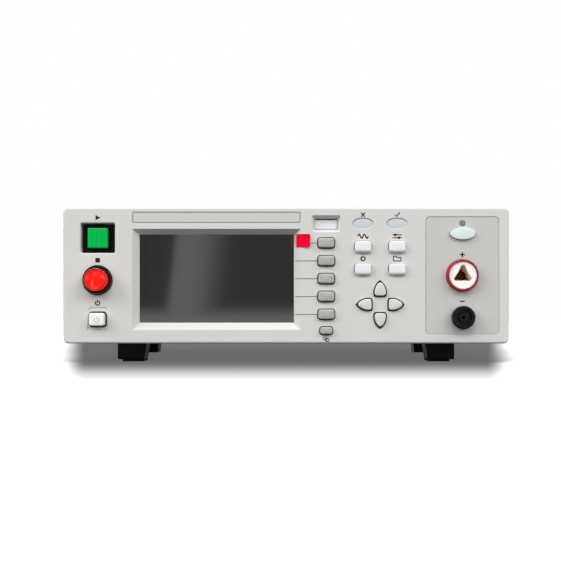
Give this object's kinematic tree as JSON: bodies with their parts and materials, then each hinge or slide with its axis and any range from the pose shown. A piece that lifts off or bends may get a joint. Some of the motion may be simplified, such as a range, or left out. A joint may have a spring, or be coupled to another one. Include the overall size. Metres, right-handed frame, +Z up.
{
  "type": "hipot tester",
  "caption": "Bench withstand-voltage tester: a wide low metal case on feet, with a moulded front panel that has a screen, push keys, lamps and output terminals.",
  "frame": {"origin": "on the table, under the middle of the bounding box", "axes": "+X to the right as seen by the user, +Y towards the back, +Z up; the front faces -Y"},
  "size_m": [0.43, 0.378, 0.1495],
  "materials": {
    "panel_plastic": "fine moulded grain",
    "plate_plastic": "printed sheet, satin",
    "screen_glass": "clear glass over a dark screen",
    "red_film": "thin film",
    "black_plastic": "satin",
    "green_lens": "gloss",
    "red_plastic": "gloss",
    "white_plastic": "gloss",
    "grey_key": "moulded rubber",
    "white_key": "satin",
    "pale_key": "satin",
    "lamp_lens": "diffusing lens",
    "board": "glass epoxy board",
    "display_metal": "pressed frame",
    "case_paint": "powder coat",
    "steel": "zinc plated",
    "brass": "plated",
    "pad_rubber": "moulded rubber",
    "core_iron": "core sheets and varnished winding"
  },
  "bodies": {
    "tester": {"front_panel": "panel_plastic", "nameplate": "plate_plastic", "display_glass": "screen_glass", "display_module": "display_metal", "film_pull_tab": "red_film", "start_switch": "black_plastic", "stop_bezel": "black_plastic", "stop_switch": "black_plastic", "power_switch": "black_plastic", "fail_lamp": "lamp_lens", "pass_lamp": "lamp_lens", "hv_lamp": "lamp_lens", "output_plate": "plate_plastic", "hv_ring": "red_plastic", "hv_insulator": "white_plastic", "hv_contact": "brass", "return_jack": "black_plastic", "return_sleeve": "brass", "return_nut": "steel", "usb_socket": "steel", "front_board": "board", "key_switches": "black_plastic", "bottom_chassis": "case_paint", "top_cover": "case_paint", "rear_panel": "case_paint", "case_screws": "steel", "board_screws": "steel", "front_feet": "black_plastic", "rear_feet": "black_plastic", "foot_pads": "pad_rubber", "fan_frame": "black_plastic", "fan_guard": "steel", "mains_inlet": "black_plastic", "earth_stud": "brass", "serial_port": "steel", "handler_port": "steel", "mains_transformer": "core_iron", "hv_transformer": "core_iron", "main_board": "board"},
    "start_button": {"start_button": "green_lens", "start_plunger": "black_plastic"},
    "stop_button": {"stop_button": "red_plastic"},
    "power_button": {"power_button": "white_plastic"},
    "soft_key_1": {"soft_key_1": "grey_key"},
    "soft_key_2": {"soft_key_2": "grey_key"},
    "soft_key_3": {"soft_key_3": "grey_key"},
    "soft_key_4": {"soft_key_4": "grey_key"},
    "soft_key_5": {"soft_key_5": "grey_key"},
    "copy_key": {"copy_key": "grey_key"},
    "menu_key_1": {"menu_key_1": "white_key"},
    "menu_key_2": {"menu_key_2": "white_key"},
    "menu_key_3": {"menu_key_3": "white_key"},
    "menu_key_4": {"menu_key_4": "white_key"},
    "arrow_up": {"arrow_up": "pale_key"},
    "arrow_down": {"arrow_down": "pale_key"},
    "arrow_left": {"arrow_left": "pale_key"},
    "arrow_right": {"arrow_right": "pale_key"},
    "usb_flap": {"usb_flap": "white_key"},
    "fan_rotor": {"fan_rotor": "black_plastic"},
    "fuse_drawer": {"fuse_drawer": "black_plastic"}
  },
  "joints": [
    {"name": "start_button_press", "type": "slide", "parent": "tester", "child": "start_button", "axis": [0, 1, 0], "range_m": [0, 0.003], "stiffness_N_per_m": 700},
    {"name": "stop_button_press", "type": "slide", "parent": "tester", "child": "stop_button", "axis": [0, 1, 0], "range_m": [0, 0.003], "stiffness_N_per_m": 700},
    {"name": "power_button_press", "type": "slide", "parent": "tester", "child": "power_button", "axis": [0, 1, 0], "range_m": [0, 0.004], "stiffness_N_per_m": 600},
    {"name": "soft_key_1_press", "type": "slide", "parent": "tester", "child": "soft_key_1", "axis": [0, 1, 0], "range_m": [0, 0.0015], "stiffness_N_per_m": 800},
    {"name": "soft_key_2_press", "type": "slide", "parent": "tester", "child": "soft_key_2", "axis": [0, 1, 0], "range_m": [0, 0.0015], "stiffness_N_per_m": 800},
    {"name": "soft_key_3_press", "type": "slide", "parent": "tester", "child": "soft_key_3", "axis": [0, 1, 0], "range_m": [0, 0.0015], "stiffness_N_per_m": 800},
    {"name": "soft_key_4_press", "type": "slide", "parent": "tester", "child": "soft_key_4", "axis": [0, 1, 0], "range_m": [0, 0.0015], "stiffness_N_per_m": 800},
    {"name": "soft_key_5_press", "type": "slide", "parent": "tester", "child": "soft_key_5", "axis": [0, 1, 0], "range_m": [0, 0.0015], "stiffness_N_per_m": 800},
    {"name": "copy_key_press", "type": "slide", "parent": "tester", "child": "copy_key", "axis": [0, 1, 0], "range_m": [0, 0.0015], "stiffness_N_per_m": 800},
    {"name": "menu_key_1_press", "type": "slide", "parent": "tester", "child": "menu_key_1", "axis": [0, 1, 0], "range_m": [0, 0.0015], "stiffness_N_per_m": 800},
    {"name": "menu_key_2_press", "type": "slide", "parent": "tester", "child": "menu_key_2", "axis": [0, 1, 0], "range_m": [0, 0.0015], "stiffness_N_per_m": 800},
    {"name": "menu_key_3_press", "type": "slide", "parent": "tester", "child": "menu_key_3", "axis": [0, 1, 0], "range_m": [0, 0.0015], "stiffness_N_per_m": 800},
    {"name": "menu_key_4_press", "type": "slide", "parent": "tester", "child": "menu_key_4", "axis": [0, 1, 0], "range_m": [0, 0.0015], "stiffness_N_per_m": 800},
    {"name": "arrow_up_press", "type": "slide", "parent": "tester", "child": "arrow_up", "axis": [0, 1, 0], "range_m": [0, 0.0015], "stiffness_N_per_m": 800},
    {"name": "arrow_down_press", "type": "slide", "parent": "tester", "child": "arrow_down", "axis": [0, 1, 0], "range_m": [0, 0.0015], "stiffness_N_per_m": 800},
    {"name": "arrow_left_press", "type": "slide", "parent": "tester", "child": "arrow_left", "axis": [0, 1, 0], "range_m": [0, 0.0015], "stiffness_N_per_m": 800},
    {"name": "arrow_right_press", "type": "slide", "parent": "tester", "child": "arrow_right", "axis": [0, 1, 0], "range_m": [0, 0.0015], "stiffness_N_per_m": 800},
    {"name": "usb_flap_hinge", "type": "hinge", "parent": "tester", "child": "usb_flap", "pos_m": [0.0388, -0.1692, 0.1298], "axis": [1, 0, 0], "range_deg": [0, 90]},
    {"name": "fan_spin", "type": "hinge", "parent": "tester", "child": "fan_rotor", "pos_m": [0.125, 0.16, 0.084], "axis": [0, 1, 0], "continuous": true},
    {"name": "fuse_drawer_slide", "type": "slide", "parent": "tester", "child": "fuse_drawer", "axis": [0, 1, 0], "range_m": [0, 0.018]}
  ]
}
